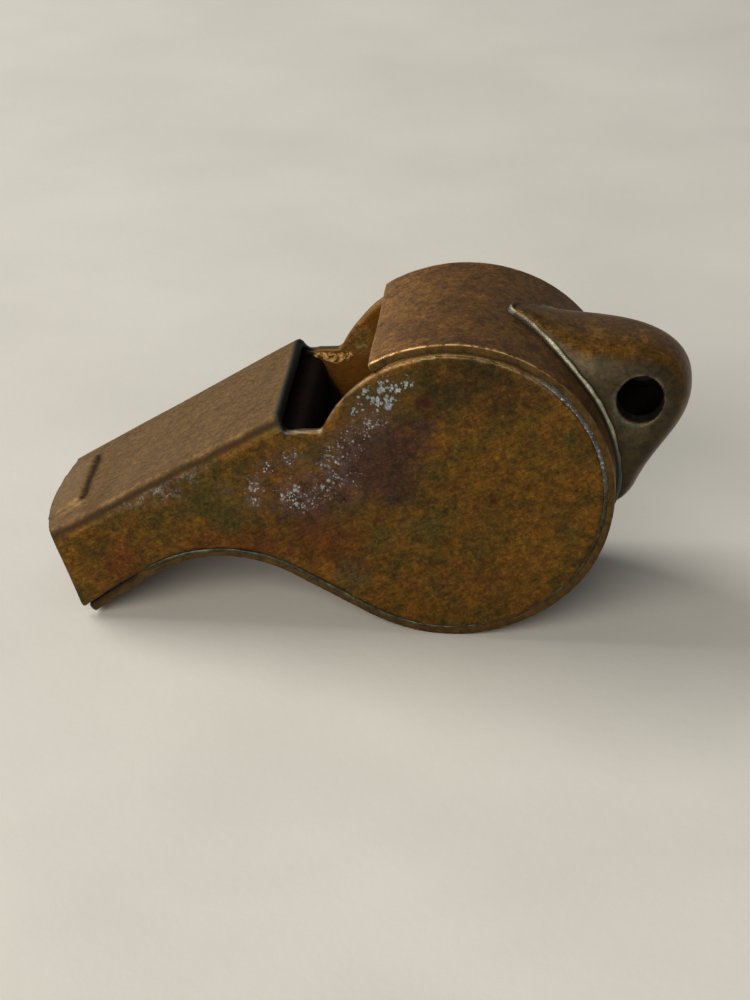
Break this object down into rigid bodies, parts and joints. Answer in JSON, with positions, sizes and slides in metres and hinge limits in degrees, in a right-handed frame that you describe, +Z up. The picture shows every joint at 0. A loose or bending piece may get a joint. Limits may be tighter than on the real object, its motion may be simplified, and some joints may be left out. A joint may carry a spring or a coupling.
{
  "type": "pea whistle",
  "caption": "Drum-shaped sheet-brass pea whistle with a sloping mouthpiece, a top window, a loose cork pea and a soldered lanyard lug.",
  "frame": {"origin": "on the surface that the whistle stands on, under the middle of its bounding box", "axes": "+X from the mouthpiece towards the lanyard lug, +Y across the width and along the lanyard hole, +Z up"},
  "size_m": [0.044, 0.0158, 0.0214],
  "materials": {
    "saddle_brass": "aged brass, mottled amber and olive patina with pale verdigris spots",
    "strap_brass": "aged brass, dull brown patina, rubbed brighter along the edges",
    "inner_brass": "tarnished brass inside the windway and drum",
    "lug_brass": "aged brass, golden brown on top and olive grey at the sides",
    "solder": "dull oxidised soft solder",
    "cork": "cork, darkened with age"
  },
  "bodies": {
    "whistle": {"side_plate_saddle": "saddle_brass", "barrel_strap": "strap_brass", "windway_floor": "inner_brass", "windway_solder": "solder", "seam_solder_front": "solder", "seam_solder_back": "solder", "lanyard_lug": "lug_brass", "lug_solder": "solder"},
    "pea": {"cork_pea": "cork"}
  },
  "joints": [
    {"name": "pea_orbit", "type": "hinge", "parent": "whistle", "child": "pea", "pos_m": [0.00665, 0, 0.01087], "axis": [0, 1, 0], "continuous": true}
  ]
}
